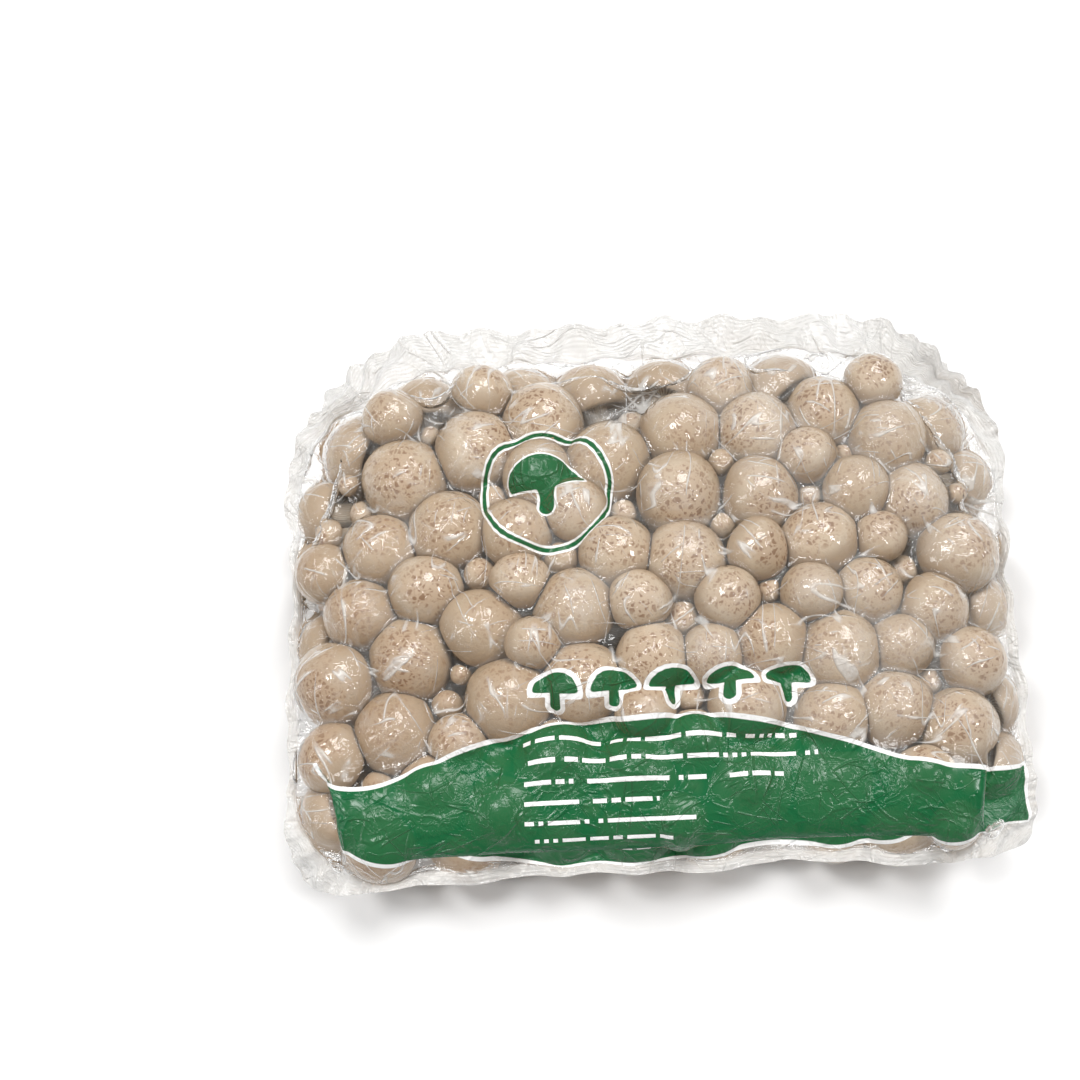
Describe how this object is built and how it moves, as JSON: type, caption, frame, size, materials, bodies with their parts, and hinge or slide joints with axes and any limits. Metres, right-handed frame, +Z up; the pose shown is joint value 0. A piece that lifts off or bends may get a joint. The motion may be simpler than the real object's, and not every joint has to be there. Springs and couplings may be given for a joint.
{
  "type": "vacuum-packed beech mushroom cluster",
  "caption": "Clear sealed pouch lying flat, packed tight with bunches of brown beech mushrooms, trimmed roots down and domed caps pressed up against the film.",
  "frame": {"origin": "on the resting plane, under the middle of the pouch's box", "axes": "+X along the width of the pouch, +Y from the printed end to the far end, +Z up"},
  "size_m": [0.279, 0.224, 0.063],
  "materials": {
    "mushroom": "matte",
    "pouch_film": "gloss"
  },
  "bodies": {
    "root": {"bunch_1": "mushroom", "bunch_2": "mushroom", "bunch_3": "mushroom", "bunch_4": "mushroom", "bunch_5": "mushroom", "bunch_6": "mushroom", "bunch_7": "mushroom", "bunch_8": "mushroom", "bunch_9": "mushroom", "loose_mushroom_1": "mushroom", "loose_mushroom_2": "mushroom", "loose_mushroom_3": "mushroom", "loose_mushroom_4": "mushroom", "loose_mushroom_5": "mushroom", "front_film": "pouch_film", "back_film": "pouch_film"}
  },
  "joints": []
}
